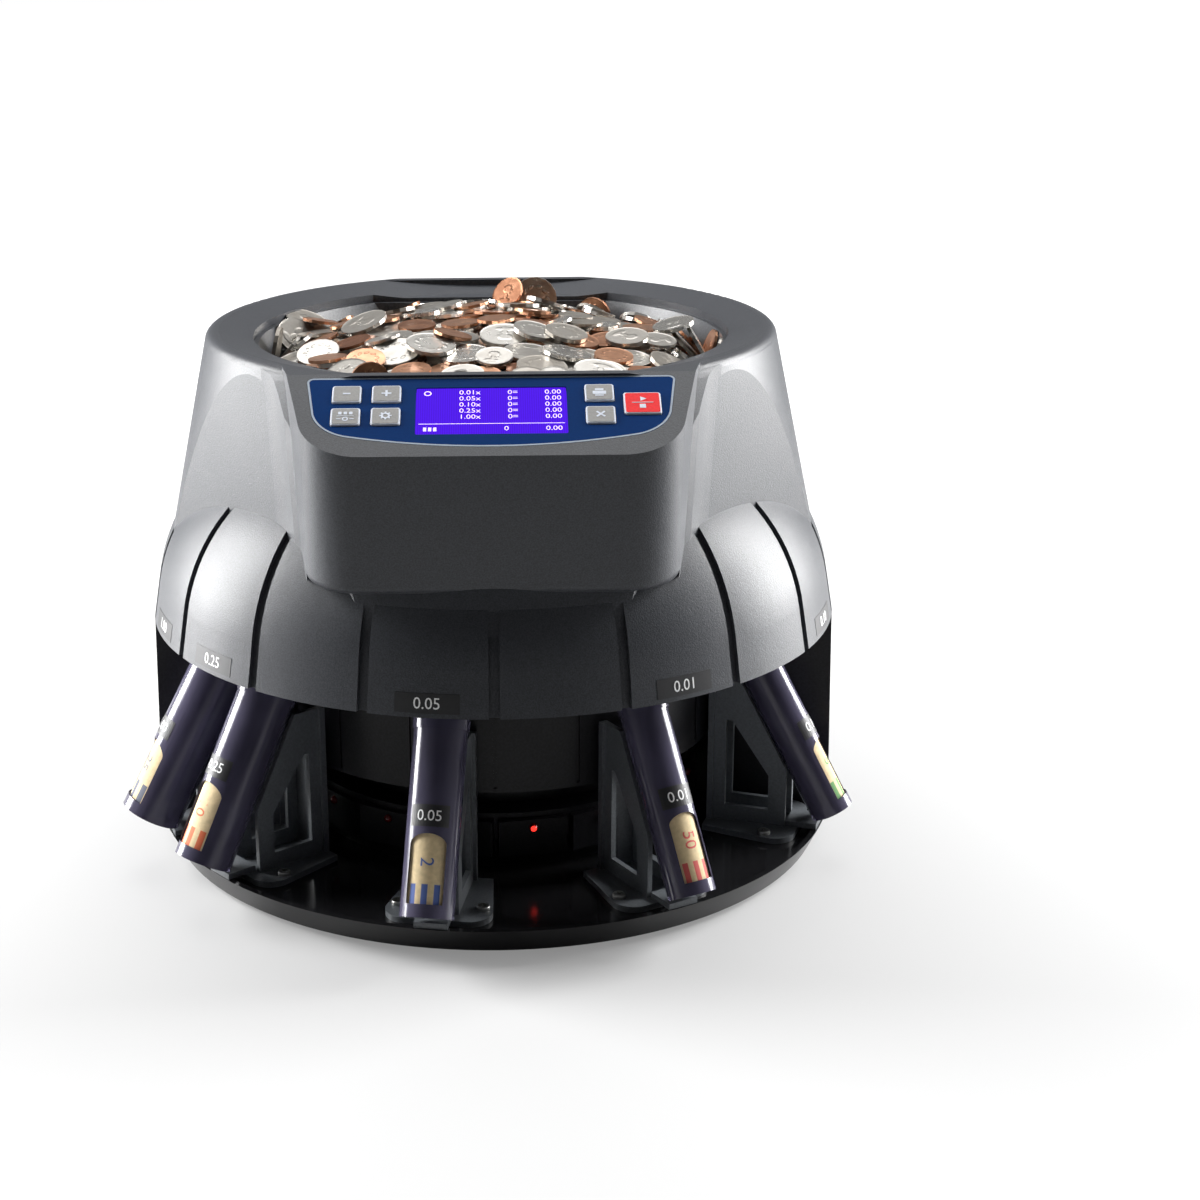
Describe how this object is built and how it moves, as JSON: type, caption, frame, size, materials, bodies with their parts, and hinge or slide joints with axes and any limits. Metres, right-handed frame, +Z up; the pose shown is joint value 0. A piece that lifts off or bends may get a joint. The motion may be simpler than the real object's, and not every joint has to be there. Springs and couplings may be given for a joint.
{
  "type": "coin sorting machine",
  "caption": "Round desktop coin sorter with an open hopper, sloping key panel and display, and smoked tubes that catch each coin size on tilted stands around the base.",
  "frame": {"origin": "middle of the machine's box, on the surface it stands on", "axes": "+Z up; the key panel and the tubes face -Y; +X is to the right of a person using it"},
  "size_m": [0.3698, 0.3516, 0.266],
  "materials": {
    "hood_plastic": "fine spark texture, satin",
    "tray_gloss": "gloss",
    "black_plastic": "satin",
    "feet_rubber": "matt",
    "screw_steel": "zinc plated",
    "led_red": "clear red lens",
    "deck_steel": "brushed",
    "sensor_black": "matt",
    "bowl_plastic": "satin",
    "roller_rubber": "matt",
    "panel_blue": "printed polyester film",
    "lcd_glass": "lit display window",
    "key_grey": "satin, pale border",
    "key_red": "satin, pale border",
    "board_green": "solder mask",
    "shaft_steel": "ground",
    "gear_plastic": "acetal",
    "wheel_rubber": "soft urethane",
    "disc_steel": "brushed",
    "bearing_steel": "polished",
    "motor_steel": "zinc plated",
    "bracket_metal": "cast",
    "psu_metal": "folded sheet",
    "tube_smoke": "smoked translucent, gloss",
    "stand_slate": "satin",
    "paper_dollar": "kraft with grey stripes",
    "paper_quarter": "kraft with orange stripes",
    "paper_nickel": "kraft with blue stripes",
    "paper_penny": "kraft with red stripes",
    "paper_dime": "kraft with green stripes"
  },
  "bodies": {
    "chassis": {"base_tray": "tray_gloss", "rubber_feet": "feet_rubber", "base_screws": "screw_steel", "pedestal": "black_plastic", "sensor_leds": "led_red", "drive_drum": "black_plastic", "sorting_deck": "deck_steel", "track_rail": "deck_steel", "chute_ring": "black_plastic", "coin_sensors": "sensor_black", "hood": "hood_plastic", "hood_screws": "screw_steel", "hopper_bowl": "bowl_plastic", "gate_bracket": "black_plastic", "panel_overlay": "panel_blue", "lcd_module": "lcd_glass", "key_board": "board_green", "upper_bearing": "bearing_steel", "lower_bearing": "bearing_steel", "motor": "motor_steel", "motor_bracket": "bracket_metal", "rear_housing": "black_plastic", "mains_inlet": "black_plastic", "switch_body": "black_plastic", "printer_port": "deck_steel", "power_supply": "psu_metal", "main_board": "board_green", "stand_screws": "screw_steel", "stand_dollar": "stand_slate", "stand_quarter": "stand_slate", "stand_nickel": "stand_slate", "stand_penny": "stand_slate", "stand_dime": "stand_slate"},
    "rotor": {"spindle": "shaft_steel", "drive_gear": "gear_plastic", "pusher_wheel": "wheel_rubber", "feed_disc": "disc_steel", "disc_cap": "disc_steel"},
    "pinion": {"motor_shaft": "shaft_steel", "motor_pinion": "gear_plastic"},
    "gate": {"gate_roller": "roller_rubber"},
    "key_minus": {"key_minus": "key_grey"},
    "key_plus": {"key_plus": "key_grey"},
    "key_mode": {"key_mode": "key_grey"},
    "key_set": {"key_set": "key_grey"},
    "key_print": {"key_print": "key_grey"},
    "key_clear": {"key_clear": "key_grey"},
    "key_start_stop": {"key_start_stop": "key_red"},
    "tube_dollar": {"tube_dollar": "tube_smoke", "wrapper_dollar": "paper_dollar"},
    "tube_quarter": {"tube_quarter": "tube_smoke", "wrapper_quarter": "paper_quarter"},
    "tube_nickel": {"tube_nickel": "tube_smoke", "wrapper_nickel": "paper_nickel"},
    "tube_penny": {"tube_penny": "tube_smoke", "wrapper_penny": "paper_penny"},
    "tube_dime": {"tube_dime": "tube_smoke", "wrapper_dime": "paper_dime"},
    "rocker": {"power_rocker": "black_plastic"}
  },
  "joints": [
    {"name": "rotor_spin", "type": "hinge", "parent": "chassis", "child": "rotor", "pos_m": [0.00369, 0.01634, 0.124], "axis": [0, 0, 1], "continuous": true},
    {"name": "pinion_spin", "type": "hinge", "parent": "chassis", "child": "pinion", "pos_m": [0.00369, 0.07484, 0.124], "axis": [0, 0, 1], "continuous": true},
    {"name": "gate_roll", "type": "hinge", "parent": "chassis", "child": "gate", "pos_m": [0.00369, 0.11134, 0.1635], "axis": [1, 0, 0], "continuous": true},
    {"name": "key_minus_press", "type": "slide", "parent": "chassis", "child": "key_minus", "axis": [0, 0.4163, -0.9092], "range_m": [0, 0.0005], "stiffness_N_per_m": 400, "springref_m": -0.001},
    {"name": "key_plus_press", "type": "slide", "parent": "chassis", "child": "key_plus", "axis": [0, 0.4163, -0.9092], "range_m": [0, 0.0005], "stiffness_N_per_m": 400, "springref_m": -0.001},
    {"name": "key_mode_press", "type": "slide", "parent": "chassis", "child": "key_mode", "axis": [0, 0.4163, -0.9092], "range_m": [0, 0.0005], "stiffness_N_per_m": 400, "springref_m": -0.001},
    {"name": "key_set_press", "type": "slide", "parent": "chassis", "child": "key_set", "axis": [0, 0.4163, -0.9092], "range_m": [0, 0.0005], "stiffness_N_per_m": 400, "springref_m": -0.001},
    {"name": "key_print_press", "type": "slide", "parent": "chassis", "child": "key_print", "axis": [0, 0.4163, -0.9092], "range_m": [0, 0.0005], "stiffness_N_per_m": 400, "springref_m": -0.001},
    {"name": "key_clear_press", "type": "slide", "parent": "chassis", "child": "key_clear", "axis": [0, 0.4163, -0.9092], "range_m": [0, 0.0005], "stiffness_N_per_m": 400, "springref_m": -0.001},
    {"name": "key_start_stop_press", "type": "slide", "parent": "chassis", "child": "key_start_stop", "axis": [0, 0.4163, -0.9092], "range_m": [0, 0.0005], "stiffness_N_per_m": 400, "springref_m": -0.001},
    {"name": "tube_dollar_pull", "type": "slide", "parent": "chassis", "child": "tube_dollar", "axis": [-0.9397, -0.342, 0], "range_m": [0, 0.12]},
    {"name": "tube_quarter_pull", "type": "slide", "parent": "chassis", "child": "tube_quarter", "axis": [-0.766, -0.6428, 0], "range_m": [0, 0.12]},
    {"name": "tube_nickel_pull", "type": "slide", "parent": "chassis", "child": "tube_nickel", "axis": [-0.1736, -0.9848, 0], "range_m": [0, 0.12]},
    {"name": "tube_penny_pull", "type": "slide", "parent": "chassis", "child": "tube_penny", "axis": [0.5, -0.866, 0], "range_m": [0, 0.12]},
    {"name": "tube_dime_pull", "type": "slide", "parent": "chassis", "child": "tube_dime", "axis": [0.9397, -0.342, 0], "range_m": [0, 0.12]},
    {"name": "power_switch", "type": "hinge", "parent": "chassis", "child": "rocker", "pos_m": [0.06569, 0.16784, 0.08], "axis": [0, 0, 1], "range_deg": [-18, 0]}
  ],
  "couplings": [
    {"joint": "pinion_spin", "follows": "rotor_spin", "ratio": -3.3333}
  ]
}
